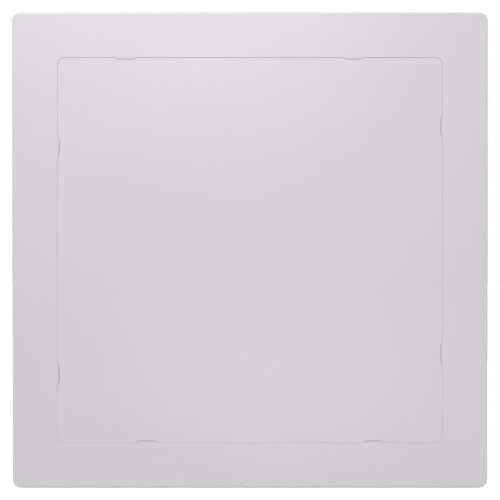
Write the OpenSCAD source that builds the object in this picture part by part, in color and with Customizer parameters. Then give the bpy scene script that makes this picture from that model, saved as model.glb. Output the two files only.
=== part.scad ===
// Square ceiling access panel: a moulded flange frame and a flush door held by eight snap hooks.
// Drawn upright as it is looked at: X to the right, Z up, the face towards -Y.
// The plane Y = 0 is the ceiling surface that the flange lies on, and +Y goes into the void behind it.
// Sizes are in millimetres. The parts are shaped flat, face up, and stood up at the end.

/* [Ceiling cut-out] */
// Side of the square hole cut in the ceiling
cutout_w = 356; // [320:1:460]
// Play between the hole and the collar, each side
cutout_clear = 2; // [1:0.5:4]

/* [Frame] */
// How far the flange laps over the ceiling, each side
flange_lap = 22; // [16:1:40]
// Height of the face above the ceiling
face_h = 5; // [4.5:0.1:7]
// Wall of the flange
flange_t = 2.5; // [2:0.1:3]
// Radius of the outer corners
outer_r = 7; // [6.5:0.5:14]
// Rounding of the outer edge
rim_round = 1.8; // [1:0.1:2.4]
// Depth of the collar behind the ceiling surface
collar_depth = 20; // [18:1:60]
// Wall of the collar
collar_t = 2; // [1.6:0.1:3]
// Radius of the collar's corners
collar_r = 12; // [8:0.5:20]
// Lead-in chamfer on the collar's back edge
collar_lead = 1; // [0.4:0.1:1.4]
// Space between the collar and the keeper wall
channel_w = 10.2; // [6:0.1:12]
// Wall round the door opening
keeper_wall_t = 2; // [1.6:0.1:3]
// Radius of the opening's corners
opening_r = 6; // [4:0.5:10]
// Rounding of the opening's front edge
lip_round = 0.3; // [0.2:0.1:0.7]
// Thickness of the stiffening ribs
frame_rib_t = 1.6; // [1.2:0.1:2]
// Pitch of the ribs under the flange
flange_rib_pitch = 41; // [25:1:60]

/* [Door seat] */
// How far the ledge behind the door reaches inwards
ledge_w = 5.5; // [4:0.5:5.5]
// Thickness of the ledge
ledge_t = 1.8; // [1.4:0.1:2.4]
// Space in the ledge beside each keeper
ledge_clear = 1.75; // [0.5:0.25:4]

/* [Keepers] */
// Distance of the far hook of each side from the middle
hook_far = 104; // [70:1:120]
// Distance of the near hook of each side from the middle
hook_near = 87; // [50:1:120]
// How far each keeper stands into the opening
keeper_inset = 1.2; // [1:0.1:2.2]
// Length of a keeper at its inner face
keeper_w = 12.5; // [12:0.5:18]
// Length of its sloped end
keeper_slope = 3; // [0.5:0.1:3.5]
// Depth of a keeper from the face
keeper_depth = 13.3; // [11:0.1:15]

/* [Door] */
// Gap round the door
door_gap = 0.2; // [0.15:0.05:1.2]
// Gap between each keeper and the door's notch
notch_gap = 0.3; // [0.2:0.05:1.2]
// Thickness of the door
door_t = 2.5; // [2:0.1:3]
// Rounding of its front edge
door_round = 0.3; // [0.2:0.1:0.8]
// Thickness of the ribs on its back
door_rib_t = 1.5; // [1.2:0.1:2]
// Height of those ribs
door_rib_h = 5; // [3:0.5:7]
// Distance from the ledge to the rib that runs round the back
rib_inset = 7; // [5:0.5:12]
// Ribs across the back each way
cross_ribs = 3; // [1:1:5]

/* [Snap hooks] */
// Width of a hook
hook_w = 12; // [8:0.5:12]
// Thickness of its spring leg
hook_t = 1.4; // [1.2:0.1:1.6]
// How far the leg is set back from the door's notch
hook_set = 0.2; // [0:0.05:0.4]
// Overlap of the barb behind the keeper
barb_catch = 1.2; // [0.8:0.1:1.4]
// Play between the barb and the keeper
catch_play = 0.15; // [0.1:0.05:0.3]
// Length of the flat at the barb's crest
barb_flat = 0.5; // [0.3:0.1:1]
// Length of the lead-in ramp at the tip
lead_in = 4.5; // [3:0.5:6]
// Thickening of the leg at its root
root_fillet = 1; // [0.5:0.1:1]

/* [Fixing screws] */
// Diameter of the screw holes in the collar
screw_d = 4.5; // [3.5:0.1:6]
// Distance between the two screw holes of a side
screw_spacing = 280; // [230:1:290]
// Depth of the screw holes behind the ceiling surface
screw_depth = 14; // [12:0.5:15]

/* [Hidden] */
$fn = 64;
// Room left where one shape runs into another
lap = 0.5;
// Distances outwards from the middle
overall_half = cutout_w / 2 + flange_lap;
collar_half = cutout_w / 2 - cutout_clear;
collar_in = collar_half - collar_t;
keeper_half = collar_in - channel_w;
opening_half = keeper_half - keeper_wall_t;
ledge_in = opening_half - ledge_w;
keeper_in = opening_half - keeper_inset;
keeper_base = keeper_w + 2 * keeper_slope;
door_half = opening_half - door_gap;
door_r = opening_r - door_gap;
rib_half = ledge_in - rib_inset;
leg_out = keeper_in - notch_gap - hook_set;
leg_in = leg_out - hook_t;
barb_out = keeper_in + barb_catch;
// Heights, with the ceiling at 0 and the face at face_h
flange_back = face_h - flange_t;
seat_z = face_h - door_t;
keeper_z = face_h - keeper_depth;
catch_z = keeper_z - catch_play;
barb_z = catch_z - barb_catch;
tip_z = barb_z - barb_flat - lead_in;
// Ribs under the flange that fit on each half of a side
flange_ribs_half = floor((collar_half - collar_r) / flange_rib_pitch);
frame_color = [0.86, 0.85, 0.86];
door_color = [0.85, 0.84, 0.85];
hook_color = [0.82, 0.81, 0.82];

// Each part stands alone when it is named here

// Stands the flat drawing up, so that its top looks towards -Y
module upright() {
  rotate([90, 0, 0])
    children();
}

// Repeats what is drawn on the right side for all four sides
module each_side() {
  for (turn = [0:90:270])
    rotate([0, 0, turn])
      children();
}

// Repeats what is drawn in the middle of the right side at both hooks of every side
module each_hook() {
  each_side()
    for (along = [hook_far, -hook_near])
      translate([0, along, 0])
        children();
}

// A square outline with round corners
module round_square(half, r) {
  square([2 * half - 2 * r, 2 * half], center = true);
  square([2 * half, 2 * half - 2 * r], center = true);
  for (sx = [-1, 1])
    for (sy = [-1, 1])
      translate([sx * (half - r), sy * (half - r)])
        circle(r);
}

// A wall that runs round the middle
module ring_wall(half, r, wall, z0, z1) {
  translate([0, 0, z0])
    linear_extrude(z1 - z0)
      difference() {
        round_square(half, r);
        round_square(half - wall, max(r - wall, lap));
      }
}

// Takes a section round a square with corners of radius r: four straight runs and four turned corners.
// The section is measured outwards from the middle of the corner's radius.
module run_round(half, r) {
  mid = half - r;
  each_side() {
    translate([mid, mid, 0])
      rotate([90, 0, 0])
        linear_extrude(2 * mid)
          children();
    translate([mid, mid, 0])
      rotate_extrude(angle = 90)
        children();
  }
}

// A block in section with its far upper corner rounded
module rounded_block(w, h, r) {
  square([w, h - r]);
  square([w - r, h]);
  translate([w - r, h - r])
    circle(r);
}

// Section of the outer rim: a rounded edge and a lip down to the ceiling
module rim_section() {
  difference() {
    rounded_block(outer_r, face_h, rim_round);
    translate([-lap, -lap])
      square([outer_r - flange_t + lap, flange_back + lap]);
  }
}

// Section of the wall round the opening, with its front edge rounded
module keeper_wall_section() {
  translate([opening_r + keeper_wall_t, keeper_z])
    mirror([1, 0])
      rounded_block(keeper_wall_t, keeper_depth, lip_round);
}

// Section of the collar, with a lead-in chamfer at its back
module collar_section() {
  polygon([[collar_r - collar_t, flange_back + lap], [collar_r - collar_t, -collar_depth],
    [collar_r - collar_lead, -collar_depth], [collar_r, collar_lead - collar_depth],
    [collar_r, flange_back + lap]]);
}

// Outline of a keeper seen from the front, with a gap all round it
module keeper_outline(gap) {
  end_angle = atan2(keeper_inset, keeper_slope);
  inner = keeper_w / 2 + gap * tan(end_angle / 2);
  outer = inner + (keeper_inset + lap + gap) * keeper_slope / keeper_inset;
  polygon([[keeper_in - gap, -inner], [keeper_in - gap, inner], [opening_half + lap, outer],
    [opening_half + lap, -outer]]);
}

// Keepers: the blocks whose front ends show as tabs in the door's edge
module keepers() {
  each_hook()
    translate([0, 0, keeper_z])
      linear_extrude(keeper_depth)
        keeper_outline(0);
}

// Ledge that the door lies on, broken at each hook
module ledge() {
  difference() {
    ring_wall(opening_half + lap, opening_r + lap, ledge_w + lap, seat_z - ledge_t, seat_z);
    each_hook()
      translate([ledge_in - lap, -keeper_base / 2 - ledge_clear, seat_z - ledge_t - lap])
        cube([ledge_w + lap, keeper_base + 2 * ledge_clear, ledge_t + 2 * lap]);
  }
}

// Webs that tie the keeper wall to the collar beside each keeper and at the middle of each side
module webs() {
  web_l = channel_w + 2 * lap;
  each_hook()
    for (side = [-1, 1])
      translate([keeper_half - lap, side * keeper_w / 2 - frame_rib_t / 2, keeper_z])
        cube([web_l, frame_rib_t, keeper_depth - flange_t + lap]);
  each_side()
    translate([keeper_half - lap, -frame_rib_t / 2, keeper_z])
      cube([web_l, frame_rib_t, keeper_depth - flange_t + lap]);
}

// Low ribs under the flange, level with the rim's lip, and one across each corner
module flange_ribs() {
  lip_in = overall_half - flange_t;
  corner_from = (collar_half - collar_r) * sqrt(2) + collar_r - lap;
  corner_to = (overall_half - outer_r) * sqrt(2) + outer_r - flange_t + lap;
  each_side() {
    for (i = [-flange_ribs_half:flange_ribs_half])
      translate([collar_half - lap, i * flange_rib_pitch - frame_rib_t / 2, 0])
        cube([lip_in - collar_half + 2 * lap, frame_rib_t, flange_back + lap]);
    rotate([0, 0, 45])
      translate([corner_from, -frame_rib_t / 2, 0])
        cube([corner_to - corner_from, frame_rib_t, flange_back + lap]);
  }
}

// Screw holes through the collar, two to a side
module screw_holes() {
  each_side()
    for (side = [-1, 1])
      translate([collar_in - lap, side * screw_spacing / 2, -screw_depth])
        rotate([0, 90, 0])
          cylinder(h = collar_t + 2 * lap, d = screw_d);
}

// Flat of the flange, from the middle of the opening's wall to the rim
module flange_plate() {
  wall_mid = keeper_wall_t / 2;
  translate([0, 0, flange_back])
    linear_extrude(flange_t)
      difference() {
        square(2 * (overall_half - outer_r), center = true);
        round_square(opening_half + wall_mid, opening_r + wall_mid);
      }
}

module frame() {
  color(frame_color)
    upright() {
      flange_plate();
      run_round(overall_half, outer_r)
        rim_section();
      run_round(opening_half, opening_r)
        keeper_wall_section();
      difference() {
        run_round(collar_half, collar_r)
          collar_section();
        screw_holes();
      }
      webs();
      flange_ribs();
      ledge();
      keepers();
    }
}

// Ribs on the back of the door: one round and a few each way across
module door_ribs() {
  span = 2 * rib_half - door_rib_t;
  pitch = 2 * rib_half / (cross_ribs + 1);
  ring_wall(rib_half, opening_r, door_rib_t, seat_z - door_rib_h, seat_z + lap);
  for (turn = [0, 90])
    rotate([0, 0, turn])
      for (i = [1:cross_ribs])
        translate([i * pitch - rib_half - door_rib_t / 2, -span / 2, seat_z - door_rib_h])
          cube([door_rib_t, span, door_rib_h + lap]);
}

// Plate of the door, with its front edge rounded
module door_plate() {
  linear_extrude(door_t)
    square(2 * (door_half - door_r), center = true);
  run_round(door_half, door_r)
    rounded_block(door_r, door_t, door_round);
}

module door() {
  color(door_color)
    upright() {
      translate([0, 0, seat_z])
        difference() {
          door_plate();
          each_hook()
            translate([0, 0, -lap])
              linear_extrude(door_t + 2 * lap)
                keeper_outline(notch_gap);
        }
      door_ribs();
    }
}

// One hook, on the side and place given
module snap_hook(turn, along) {
  color(hook_color)
    upright()
      rotate([0, 0, turn])
        translate([0, along + hook_w / 2, 0])
          rotate([90, 0, 0])
            linear_extrude(hook_w)
              polygon([[leg_out, seat_z], [leg_out, catch_z + keeper_in - leg_out], [barb_out, barb_z],
                [barb_out, barb_z - barb_flat], [leg_out - hook_t / 2, tip_z], [leg_in, tip_z],
                [leg_in, seat_z - root_fillet], [leg_in - root_fillet, seat_z]]);
}

module snap_hook_top_left() {
  snap_hook(90, hook_far);
}

module snap_hook_top_right() {
  snap_hook(90, -hook_near);
}

module snap_hook_right_upper() {
  snap_hook(0, hook_far);
}

module snap_hook_right_lower() {
  snap_hook(0, -hook_near);
}

module snap_hook_bottom_right() {
  snap_hook(270, hook_far);
}

module snap_hook_bottom_left() {
  snap_hook(270, -hook_near);
}

module snap_hook_left_lower() {
  snap_hook(180, hook_far);
}

module snap_hook_left_upper() {
  snap_hook(180, -hook_near);
}

frame();
door();
snap_hook_top_left();
snap_hook_top_right();
snap_hook_right_upper();
snap_hook_right_lower();
snap_hook_bottom_right();
snap_hook_bottom_left();
snap_hook_left_lower();
snap_hook_left_upper();
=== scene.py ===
# %% [markdown]
# # A white ceiling access panel
# The object is a square plastic panel that closes an opening in a ceiling or a wall. A flange frame
# covers the edge of the cut-out, and a flush door snaps into it on eight spring hooks.
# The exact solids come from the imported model, at their real size and in metres. This lesson gives them
# the softened edges, tool marks and moulded finish of the real plastic, then a camera and soft light.

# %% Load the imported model
import math

import bmesh
import bpy
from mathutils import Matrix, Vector


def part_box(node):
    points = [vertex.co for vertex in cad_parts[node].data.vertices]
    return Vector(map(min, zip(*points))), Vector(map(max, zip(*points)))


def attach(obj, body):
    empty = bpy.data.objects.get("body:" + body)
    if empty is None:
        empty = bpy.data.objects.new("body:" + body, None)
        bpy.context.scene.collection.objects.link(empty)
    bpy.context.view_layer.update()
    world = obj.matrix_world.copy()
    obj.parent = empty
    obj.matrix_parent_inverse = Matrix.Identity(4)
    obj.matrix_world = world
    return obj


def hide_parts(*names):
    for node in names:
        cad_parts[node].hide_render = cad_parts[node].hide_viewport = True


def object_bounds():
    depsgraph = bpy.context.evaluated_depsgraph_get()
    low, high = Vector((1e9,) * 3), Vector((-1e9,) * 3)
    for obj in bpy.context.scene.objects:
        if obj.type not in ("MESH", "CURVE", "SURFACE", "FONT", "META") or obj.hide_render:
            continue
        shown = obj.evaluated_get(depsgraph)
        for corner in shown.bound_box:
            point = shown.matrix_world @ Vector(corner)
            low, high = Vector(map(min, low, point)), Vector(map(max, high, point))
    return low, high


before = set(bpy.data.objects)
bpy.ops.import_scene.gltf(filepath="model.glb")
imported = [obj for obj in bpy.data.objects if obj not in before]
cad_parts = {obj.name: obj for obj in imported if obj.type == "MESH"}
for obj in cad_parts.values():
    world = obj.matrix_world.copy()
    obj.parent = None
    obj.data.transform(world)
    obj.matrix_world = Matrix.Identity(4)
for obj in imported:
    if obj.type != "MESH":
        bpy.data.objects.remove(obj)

MM = 0.001
cad_low, cad_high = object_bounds()
print("CAD box in mm:", [round(x / MM, 2) for x in (*cad_low, *cad_high)])

# %% [markdown]
# ## Camera
# The panel is photographed square on, so the camera stands straight in front of the middle and looks
# along +Y. A long lens keeps the side walls of the panel out of sight. The distance is worked out so
# that the 400 mm panel fills 475 of the picture's 500 pixels.

# %% Camera in front of the middle
LENS_MM = 85.0
SENSOR_MM = 36.0
PICTURE_PX = 500
PANEL_PX = 475
RIM_MM = 2.7  # how far the widest part of the rounded rim stands in front of the ceiling

panel_w = cad_high.x - cad_low.x
view_w = panel_w * PICTURE_PX / PANEL_PX
camera_data = bpy.data.cameras.new("camera")
camera_data.lens = LENS_MM
camera_data.sensor_width = SENSOR_MM
camera = bpy.data.objects.new("camera", camera_data)
camera.location = (0, -RIM_MM * MM - view_w * LENS_MM / SENSOR_MM, 0)
camera.rotation_euler = (math.radians(90), 0, 0)
bpy.context.scene.collection.objects.link(camera)
bpy.context.scene.camera = camera
print("Camera stands", round(-camera.location.y, 3), "m in front of the panel")

# %% [markdown]
# ## Colours and nodes
# Colours are written as sRGB hex values, the way a colour picker shows them. Blender's sockets hold
# linear light, so one function converts them. A second small function adds a node, sets its sockets
# and links its inputs, so that each material below reads from top to bottom.

# %% Helpers for materials
def linear(hex_code):
    channels = [int(hex_code[i : i + 2], 16) / 255 for i in (1, 3, 5)]
    light = [c / 12.92 if c <= 0.04045 else ((c + 0.055) / 1.055) ** 2.4 for c in channels]
    return (*light, 1.0)


def add_node(tree, kind, sockets=None, links=None, **settings):
    node = tree.nodes.new(kind)
    for name, value in settings.items():
        setattr(node, name, value)
    for name, value in (sockets or {}).items():
        node.inputs[name].default_value = value
    for name, source in (links or {}).items():
        tree.links.new(source, node.inputs[name])
    return node


def new_material(name):
    material = bpy.data.materials.new(name)
    material.use_nodes = True
    material.node_tree.nodes.clear()
    return material, material.node_tree


print("Half grey in linear light:", round(linear("#808080")[0], 3))

# %% [markdown]
# ## White ABS
# Both sides of the panel are the same moulded ABS, satin rather than glossy. White ABS lets light creep
# about half a millimetre under its skin, which softens thin gaps and fine edges, so the shader gets a
# little subsurface scattering at that distance. Only the pattern that the mould leaves differs from
# side to side. So one function makes the plastic, from a pattern for tone and gloss and one for relief.

# %% The plastic of both sides
ABS_WHITE = "#D6CFD4"
ABS_IOR = 1.54
CREEP_MM = 0.5
CREEP_SHARE = 0.3
CREEP_BY_COLOUR = (1.0, 0.9, 0.85)
RELIEF_MM = 0.01
USUAL_SHINE = 0.5


def moulded_abs(
    tree, pattern, other_white, roughness, relief, relief_strength, shine=USUAL_SHINE
):
    tone = add_node(
        tree,
        "ShaderNodeMix",
        {"A": linear(ABS_WHITE), "B": linear(other_white)},
        {"Factor": pattern},
        data_type="RGBA",
    )
    gloss = add_node(
        tree,
        "ShaderNodeMapRange",
        {"To Min": roughness[0], "To Max": roughness[1]},
        {"Value": pattern},
    )
    bump = add_node(
        tree,
        "ShaderNodeBump",
        {"Strength": relief_strength, "Distance": RELIEF_MM * MM},
        {"Height": relief},
    )
    plastic = add_node(
        tree,
        "ShaderNodeBsdfPrincipled",
        {
            "IOR": ABS_IOR,
            "Specular IOR Level": shine,
            "Subsurface Weight": CREEP_SHARE,
            "Subsurface Scale": CREEP_MM * MM,
            "Subsurface Radius": CREEP_BY_COLOUR,
        },
        {
            "Base Color": tone.outputs["Result"],
            "Roughness": gloss.outputs["Result"],
            "Normal": bump.outputs["Normal"],
        },
    )
    add_node(tree, "ShaderNodeOutputMaterial", links={"Surface": plastic.outputs["BSDF"]})


print("White ABS in linear light:", [round(c, 3) for c in linear(ABS_WHITE)])

# %% [markdown]
# ## The face, moulded with a fine grain
# The face of the mould is spark eroded, so the plastic comes out matte and even, with a grain far finer
# than a pixel. Cooling leaves slow, very faint changes of tone and gloss.
# The grain is drawn at 1.5 mm, coarser than the real 0.2 mm, so that it survives in the picture.

# %% Grained face material
FLOW_MM = 90.0
FLOW_WHITE = "#D9D2D6"
FACE_ROUGHNESS = (0.29, 0.35)
GRAIN_MM = 1.5
GRAIN_STRENGTH = 0.15


def grained_abs():
    material, tree = new_material("abs_white_moulded_grain")
    place = add_node(tree, "ShaderNodeTexCoord").outputs["Object"]
    flow = add_node(
        tree,
        "ShaderNodeTexNoise",
        {"Scale": 1 / (FLOW_MM * MM), "Detail": 2.0},
        {"Vector": place},
    ).outputs["Fac"]
    grain = add_node(
        tree,
        "ShaderNodeTexNoise",
        {"Scale": 1 / (GRAIN_MM * MM), "Detail": 3.0},
        {"Vector": place},
    ).outputs["Fac"]
    moulded_abs(tree, flow, FLOW_WHITE, FACE_ROUGHNESS, grain, GRAIN_STRENGTH)
    return material


abs_face = grained_abs()
print("Made", abs_face.name)

# %% [markdown]
# ## The same ABS off the stoned core
# The back of both mouldings comes off the core half of the mould. Nobody looks at it, so the steel is
# only stoned smooth, in strokes along one direction. The plastic is a little glossier there, with
# faint parallel streaks. The strokes are drawn 2 mm apart, coarser than the real 0.3 mm, and stretched
# along X by a Mapping node.
# The slanted ends of the notches get the same plastic without its shine. Such narrow slots are spark
# eroded and dull. The camera meets one of them nearly edge on, where a shiny wall would mirror the
# white behind the panel as a bright speck.

# %% Core side material
STROKE_MM = 2.0
STROKE_LENGTH_MM = 60.0
STROKE_WHITE = "#D8D1D6"
STROKE_STRENGTH = 0.04
BACK_ROUGHNESS = (0.27, 0.29)


def stoned_abs(name, shine):
    material, tree = new_material(name)
    place = add_node(tree, "ShaderNodeTexCoord").outputs["Object"]
    along = add_node(
        tree,
        "ShaderNodeMapping",
        {"Scale": (1 / (STROKE_LENGTH_MM * MM), 1 / (STROKE_MM * MM), 1 / (STROKE_MM * MM))},
        {"Vector": place},
    )
    stroke = add_node(
        tree,
        "ShaderNodeTexNoise",
        {"Scale": 1.0, "Detail": 2.0},
        {"Vector": along.outputs["Vector"]},
    ).outputs["Fac"]
    moulded_abs(tree, stroke, STROKE_WHITE, BACK_ROUGHNESS, stroke, STROKE_STRENGTH, shine)
    return material


abs_back = stoned_abs("abs_white_stoned_core", USUAL_SHINE)
abs_slot = stoned_abs("abs_white_dull_slot", 0.0)
print("Made", abs_back.name, "and", abs_slot.name)

# %% [markdown]
# ## Softened edges
# No edge of a moulding is dead sharp: each outside edge and inside corner has a small radius, which
# catches a thin line of light. The solids have their main roundings already, but ribs, webs, keepers,
# notches and hooks still meet at sharp edges.
# A Bevel modifier would round everything, but it folds over where a curve is cut into steps shorter
# than the radius. So each solid is copied, its loose triangles are merged into one skin, and only the
# sharp edges with room beside them are bevelled, in edit mode.

# %% Copy a solid and soften its edges
SHARP = math.radians(30)
LEVEL = math.radians(0.5)
MERGE_MM = 0.002
BEVEL_STEPS = 2


def only_select(piece):
    bpy.ops.object.select_all(action="DESELECT")
    piece.select_set(True)
    bpy.context.view_layer.objects.active = piece


def softened_copy(node, name, radius_mm):
    piece = bpy.data.objects.new(name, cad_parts[node].data.copy())
    bpy.context.scene.collection.objects.link(piece)
    only_select(piece)
    bpy.ops.mesh.customdata_custom_splitnormals_clear()
    bpy.ops.object.mode_set(mode="EDIT")
    bpy.ops.mesh.select_mode(type="EDGE")
    bpy.ops.mesh.select_all(action="SELECT")
    bpy.ops.mesh.remove_doubles(threshold=MERGE_MM * MM)
    bpy.ops.mesh.dissolve_limited(angle_limit=LEVEL)
    bpy.ops.mesh.select_all(action="DESELECT")
    mesh = bmesh.from_edit_mesh(piece.data)
    for edge in mesh.edges:
        beside = [near.calc_length() for corner in edge.verts for near in corner.link_edges]
        edge.select = edge.calc_face_angle(0) > SHARP and min(beside) > 2 * radius_mm * MM
    count = sum(edge.select for edge in mesh.edges)
    bmesh.update_edit_mesh(piece.data)
    bpy.ops.mesh.bevel(offset=radius_mm * MM, segments=BEVEL_STEPS, clamp_overlap=False)
    bpy.ops.object.mode_set(mode="OBJECT")
    print(name, "has", count, "softened edges and", len(piece.data.polygons), "faces")
    return piece


print("An edge is sharp from", round(math.degrees(SHARP)), "degrees on")

# %% The two mouldings and the eight hooks
EDGE_MM = 0.25
HOOK_EDGE_MM = 0.18

frame_moulding = softened_copy("frame", "frame_moulding", EDGE_MM)
door_moulding = softened_copy("door", "door_moulding", EDGE_MM)
hook_nodes = [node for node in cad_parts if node.startswith("snap_hook")]
hook_mouldings = [softened_copy(node, node + "_moulding", HOOK_EDGE_MM) for node in hook_nodes]

# %% [markdown]
# ## Close fit of the door
# In the photograph the door fits so closely that the gap nearly vanishes on the left, right and bottom.
# It shows as a line only along the top, where the door hangs a little low, and as short dark marks at
# the eight notches. So the door's edge comes a hair closer to the frame on those three sides, the two
# small roundings become flatter there, and the front of each notch is cut back a little. Up the two
# sides the gap opens slowly towards the top.
# Each point moves along the outline's own direction and stays behind the face. No transform operator
# does that, so the points are moved in code.

# %% Points near the outline
DOOR_T_MM = 2.5
CORNER_MM = 155.8  # from the middle to the centre of a corner's arc
NOTCH_R_MM = 4.5  # from there to the bottom of a notch
DOOR_R_MM = 5.8  # to the door's edge
OPENING_R_MM = 6.0  # and to the edge of the opening
ROUND_MM = 0.3
TOUCH_MM = 0.01
MARGIN = 1.1


def near_outline(piece, nearest_mm, farthest_mm):
    corner = CORNER_MM * MM
    for point in piece.data.vertices:
        across = Vector((point.co.x, point.co.z))
        out = across - Vector([max(-corner, min(corner, c)) for c in across])
        reach_mm = out.length / MM
        depth_mm = (point.co.y - cad_low.y) / MM
        if nearest_mm < reach_mm < farthest_mm and depth_mm < MARGIN * DOOR_T_MM:
            yield point, out.normalized(), reach_mm, depth_mm


door_edge = list(near_outline(door_moulding, NOTCH_R_MM - ROUND_MM, DOOR_R_MM + TOUCH_MM))
frame_lip = list(
    near_outline(frame_moulding, OPENING_R_MM - TOUCH_MM, OPENING_R_MM + MARGIN * ROUND_MM)
)
print("Found", len(door_edge), "points of the door's edge and", len(frame_lip), "of the frame's lip")

# %% Close the gap on three sides
CLOSE_MM = 0.14
FLATTEN = 0.67
DEEPEN_MM = 0.12
OPEN_AT_TOP = 0.4


def closeness(point, out):
    height = point.co.z / (CORNER_MM * MM)
    return 1 - max(0, out.y, min(OPEN_AT_TOP, OPEN_AT_TOP * height))


def flatten(point, depth_mm, share):
    if depth_mm < MARGIN * ROUND_MM:
        point.co.y -= depth_mm * FLATTEN * share * MM


for point, out, reach_mm, depth_mm in door_edge:
    share = closeness(point, out)
    inner = -DEEPEN_MM * max(0, 1 - depth_mm / DOOR_T_MM)
    outer = CLOSE_MM * share
    move = inner + (outer - inner) * (reach_mm - NOTCH_R_MM) / (DOOR_R_MM - NOTCH_R_MM)
    point.co.x += out.x * move * MM
    point.co.z += out.y * move * MM
    flatten(point, depth_mm, share)
for point, out, reach_mm, depth_mm in frame_lip:
    flatten(point, depth_mm, closeness(point, out))
print("Gap at the bottom is now", round(OPENING_R_MM - DOOR_R_MM - CLOSE_MM, 3), "mm")

# %% [markdown]
# ## Ejector pin marks
# Steel pins push each moulding off the core, and every pin leaves a shallow round dent on the hidden
# side. The door has one in the middle of each rib cell. The frame has them under the flange, midway
# between the low ribs. One pin end is modelled, copied to each place and cut out with a Boolean, so
# the dents are real and catch the light.

# %% One pin end
PIN_MM = 8.0
PIN_SIDES = 40
PIN_REACH_MM = 1.0
PIN_ROUND_MM = 0.15
DENT_MM = 0.25

bpy.ops.object.select_all(action="DESELECT")
bpy.ops.mesh.primitive_cylinder_add(
    vertices=PIN_SIDES,
    radius=PIN_MM / 2 * MM,
    depth=PIN_REACH_MM * MM,
    location=(0, (PIN_REACH_MM / 2 - DENT_MM) * MM, 0),
    rotation=(math.radians(90), 0, 0),
)
pin = bpy.context.active_object
bpy.ops.object.transform_apply()
bpy.ops.object.mode_set(mode="EDIT")
bpy.ops.mesh.select_mode(type="EDGE")
bpy.ops.mesh.select_all(action="DESELECT")
mesh = bmesh.from_edit_mesh(pin.data)
for edge in mesh.edges:
    edge.select = all(corner.co.y < 0 for corner in edge.verts)
bmesh.update_edit_mesh(pin.data)
bpy.ops.mesh.bevel(offset=PIN_ROUND_MM * MM, segments=BEVEL_STEPS)
bpy.ops.object.mode_set(mode="OBJECT")
print("Pin end of", PIN_MM, "mm with", len(pin.data.polygons), "faces")

# %% Cut dents into a moulding
def dent(piece, places):
    bpy.ops.object.select_all(action="DESELECT")
    for place in places:
        copy = bpy.data.objects.new("pin_copy", pin.data.copy())
        copy.location = place
        bpy.context.scene.collection.objects.link(copy)
        copy.select_set(True)
        bpy.context.view_layer.objects.active = copy
    bpy.ops.object.join()
    cutter = bpy.context.active_object
    bpy.ops.object.transform_apply()
    only_select(piece)
    cut = piece.modifiers.new("dents", "BOOLEAN")
    cut.operation = "DIFFERENCE"
    cut.solver = "EXACT"
    cut.object = cutter
    bpy.ops.object.modifier_apply(modifier=cut.name)
    bpy.data.objects.remove(cutter)
    print(len(places), "pin marks in", piece.name, "which now has", len(piece.data.polygons), "faces")


print("Each dent is", DENT_MM, "mm deep")

# %% Dents in the rib cells of the door
RIB_CELLS = 4
RIB_RING_MM = 298.6

door_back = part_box("door")[0].y + DOOR_T_MM * MM
cell = RIB_RING_MM / RIB_CELLS * MM
middles = [(i + 0.5 - RIB_CELLS / 2) * cell for i in range(RIB_CELLS)]
dent(door_moulding, [(x, door_back, z) for x in middles for z in middles])

# %% Dents under the flange of the frame
FLANGE_T_MM = 2.5
FLANGE_MID_MM = 186.75
FLANGE_RIB_PITCH_MM = 41.0
PIN_STATIONS = (-2.5, -0.5, 0.5, 2.5)  # in rib pitches from the middle of a side

flange_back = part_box("frame")[0].y + FLANGE_T_MM * MM
flange_mid = FLANGE_MID_MM * MM
stations = [i * FLANGE_RIB_PITCH_MM * MM for i in PIN_STATIONS]
upright = [(side * flange_mid, flange_back, along) for side in (-1, 1) for along in stations]
level = [(along, flange_back, side * flange_mid) for side in (-1, 1) for along in stations]
dent(frame_moulding, upright + level)
bpy.data.objects.remove(pin)

# %% [markdown]
# ## Finishes on the pieces
# The grain belongs to the faces that look into the room and to the outside of the rim. All else comes
# off the core, and the slanted ends of the notches are dull. Each face is given its finish by its
# normal and place.
# Smooth shading by angle keeps true corners crisp, and weighted normals keep the large flats flat
# beside their small rounded edges.

# %% Give each piece its finish and its body
SHOW_DEPTH_MM = 2.0
SKIN_MM = 1.0
TOWARDS_ROOM = -0.05
SLANT = 0.2


def is_notch_end(face):
    along, reach = sorted((abs(face.center.x) / MM, abs(face.center.z) / MM))
    in_gap = NOTCH_R_MM - ROUND_MM < reach - CORNER_MM < OPENING_R_MM + ROUND_MM
    return in_gap and along < CORNER_MM and abs(face.normal.x * face.normal.z) > SLANT


def finish(piece, node):
    piece.data.materials.clear()
    piece.data.materials.append(abs_face)
    piece.data.materials.append(abs_back)
    if any(is_notch_end(face) for face in piece.data.polygons):
        piece.data.materials.append(abs_slot)
    for face in piece.data.polygons:
        shallow = face.center.y < cad_low.y + SHOW_DEPTH_MM * MM
        outside = max(abs(face.center.x), abs(face.center.z)) > panel_w / 2 - SKIN_MM * MM
        grained = outside or (shallow and face.normal.y < TOWARDS_ROOM)
        face.material_index = 0 if grained else 2 if is_notch_end(face) else 1
    only_select(piece)
    bpy.ops.object.shade_smooth_by_angle(angle=SHARP)
    flat = piece.modifiers.new("flat_faces", "WEIGHTED_NORMAL")
    flat.keep_sharp = True
    bpy.ops.object.modifier_apply(modifier=flat.name)
    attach(piece, node)
    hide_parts(node)
    shown = sum(face.material_index == 0 for face in piece.data.polygons)
    print(piece.name, "shows", shown, "grained faces of", len(piece.data.polygons))


finish(frame_moulding, "frame")
finish(door_moulding, "door")
for piece, node in zip(hook_mouldings, hook_nodes):
    finish(piece, node)

# %% [markdown]
# ## Floor
# The panel stands on plain white paper. The camera and reflections see the paper lifted to white
# through Light Path, and the light that falls on the plastic stays at a plain level. Close behind the
# panel the paper keeps more of its own shading, so that the panel's shadow shows in views from other
# sides. That patch ends at the lines of sight past the panel's two sides, so the main camera sees only
# white.

# %% Floor under the panel
FLOOR_M = 12
FLOOR_DROP_MM = 0.2

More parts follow.
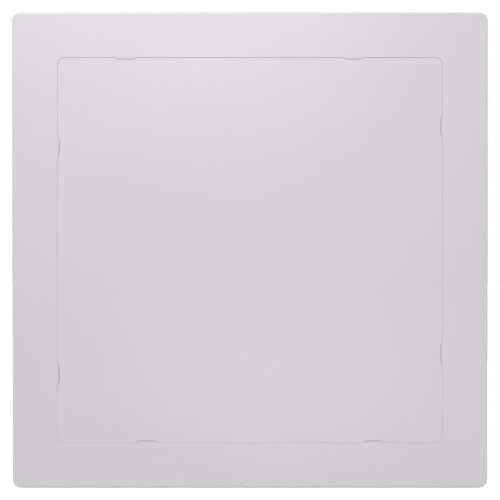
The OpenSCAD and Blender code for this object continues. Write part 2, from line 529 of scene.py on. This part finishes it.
bpy.ops.object.select_all(action="DESELECT")
bpy.ops.mesh.primitive_plane_add(size=FLOOR_M, location=(0, 0, cad_low.z - FLOOR_DROP_MM * MM))
floor = bpy.context.active_object
floor.name = "floor"
print("Floor at", round(floor.location.z / MM, 1), "mm")

# %% Where the paper is lifted to white
FRONT_M = 0.02  # half the width of the fade under the panel
FADE_M = (0.5, 1.0)  # the shaded patch ends between these distances
SIDE_SHARE = (0.4, 0.5)  # and between these shares of the panel's width, seen from the camera

paper, tree = new_material("floor_white_paper")
spot = add_node(tree, "ShaderNodeTexCoord").outputs["Object"]
place = add_node(tree, "ShaderNodeSeparateXYZ", links={"Vector": spot})
front = add_node(
    tree,
    "ShaderNodeMapRange",
    {"From Min": FRONT_M, "From Max": -FRONT_M},
    {"Value": place.outputs["Y"]},
)
apart = add_node(tree, "ShaderNodeVectorMath", links={"Vector": spot}, operation="LENGTH")
far = add_node(
    tree,
    "ShaderNodeMapRange",
    {"From Min": FADE_M[0], "From Max": FADE_M[1]},
    {"Value": apart.outputs["Value"]},
)
stand = -camera.location.y
reach = add_node(tree, "ShaderNodeMath", {1: stand}, {0: place.outputs["Y"]}, operation="ADD")
sight = {0: place.outputs["X"], 1: reach.outputs[0]}
slant = add_node(tree, "ShaderNodeMath", links=sight, operation="DIVIDE")
aside = add_node(tree, "ShaderNodeMath", links={0: slant.outputs[0]}, operation="ABSOLUTE")
side_slopes = [share * panel_w / stand for share in SIDE_SHARE]
beside = add_node(
    tree,
    "ShaderNodeMapRange",
    {"From Min": side_slopes[0], "From Max": side_slopes[1]},
    {"Value": aside.outputs[0]},
)
white = front.outputs["Result"]
for part in (far, beside):
    ends = {0: white, 1: part.outputs["Result"]}
    white = add_node(tree, "ShaderNodeMath", links=ends, operation="MAXIMUM").outputs[0]
print("The shaded patch ends", FADE_M[1], "m from the panel")

# %% White paper
PAPER_WHITE = "#E6E6E6"
LIFT = (0.25, 0.95)


def rays_that_see_white(tree):
    ray = add_node(tree, "ShaderNodeLightPath")
    seen = ray.outputs["Is Camera Ray"]
    for other in ("Is Glossy Ray", "Is Transmission Ray"):
        ends = {0: seen, 1: ray.outputs[other]}
        seen = add_node(tree, "ShaderNodeMath", links=ends, operation="MAXIMUM").outputs[0]
    return seen


lift = add_node(tree, "ShaderNodeMapRange", {"To Min": LIFT[0], "To Max": LIFT[1]}, {"Value": white})
matte = add_node(tree, "ShaderNodeBsdfDiffuse", {"Color": linear(PAPER_WHITE)})
glow = add_node(
    tree,
    "ShaderNodeEmission",
    links={"Color": rays_that_see_white(tree), "Strength": lift.outputs["Result"]},
)
both = add_node(tree, "ShaderNodeAddShader", links={0: matte.outputs[0], 1: glow.outputs[0]})
add_node(tree, "ShaderNodeOutputMaterial", links={"Surface": both.outputs[0]})
floor.data.materials.append(paper)
print("Made", paper.name)

# %% [markdown]
# ## Background
# Behind the panel is nothing but white. The world could simply be white, but then it would also flood
# the plastic with light. So Light Path tells the rays apart: the camera, reflections and clear
# materials see white, and everything else is lit by a weaker, even light.

# %% White world
AMBIENT = 0.4

world = bpy.data.worlds.new("studio")
world.use_nodes = True
bpy.context.scene.world = world
tree = world.node_tree
tree.nodes.clear()
seen = rays_that_see_white(tree)
ambient = add_node(tree, "ShaderNodeBackground", {"Color": linear("#FFFFFF"), "Strength": AMBIENT})
backdrop = add_node(tree, "ShaderNodeBackground", {"Color": linear("#FFFFFF"), "Strength": 1.0})
mix = add_node(
    tree,
    "ShaderNodeMixShader",
    links={0: seen, 1: ambient.outputs[0], 2: backdrop.outputs[0]},
)
add_node(tree, "ShaderNodeOutputWorld", links={"Surface": mix.outputs[0]})
print("The world lights the panel at", AMBIENT, "and looks white")

# %% [markdown]
# ## Soft light
# The picture is brightest along the top, falls off towards the bottom, and has a faint broad glow low
# in the middle. So the main soft box hangs near, above and a little to the left. A wide, low strip in
# front gives the glow, as a soft reflection on the satin plastic. Two weak fills lift the right side
# and the front, and one lamp behind lights the back for other views.

# %% Soft lights
def soft_box(name, place, aim, wide, tall, watts, hex_code):
    data = bpy.data.lights.new(name, "AREA")
    data.shape = "ELLIPSE"
    data.size = wide
    data.size_y = tall
    data.energy = watts
    data.color = linear(hex_code)[:3]
    lamp = bpy.data.objects.new(name, data)
    lamp.location = place
    lamp.rotation_euler = (Vector(aim) - Vector(place)).to_track_quat("-Z", "Y").to_euler()
    bpy.context.scene.collection.objects.link(lamp)
    print(name, "gives", watts, "W from", place)


soft_box("key_above", (-0.22, -0.6, 0.8), (0, 0, 0), 0.55, 0.55, 5.7, "#F8FFFF")
soft_box("low_strip", (0.03, -0.6, -0.17), (0.03, 0, -0.17), 0.4, 0.05, 0.25, "#FFFFFF")
soft_box("side_fill", (1.2, -0.8, 0.2), (0, 0, 0), 0.7, 0.7, 1.5, "#FFFFFF")
soft_box("front_fill", (0, -1.3, 0.5), (0, 0, 0), 0.5, 0.5, 1.25, "#FFFFFF")
soft_box("back_fill", (0.3, 1.0, 0.4), (0, 0, 0), 0.6, 0.6, 6, "#FFFFFF")

# %% [markdown]
# ## Colour view
# Softening and fitting must not make the panel grow. The Standard view shows each colour about as it was
# written.

# %% Colour view
bpy.context.scene.view_settings.view_transform = "Standard"
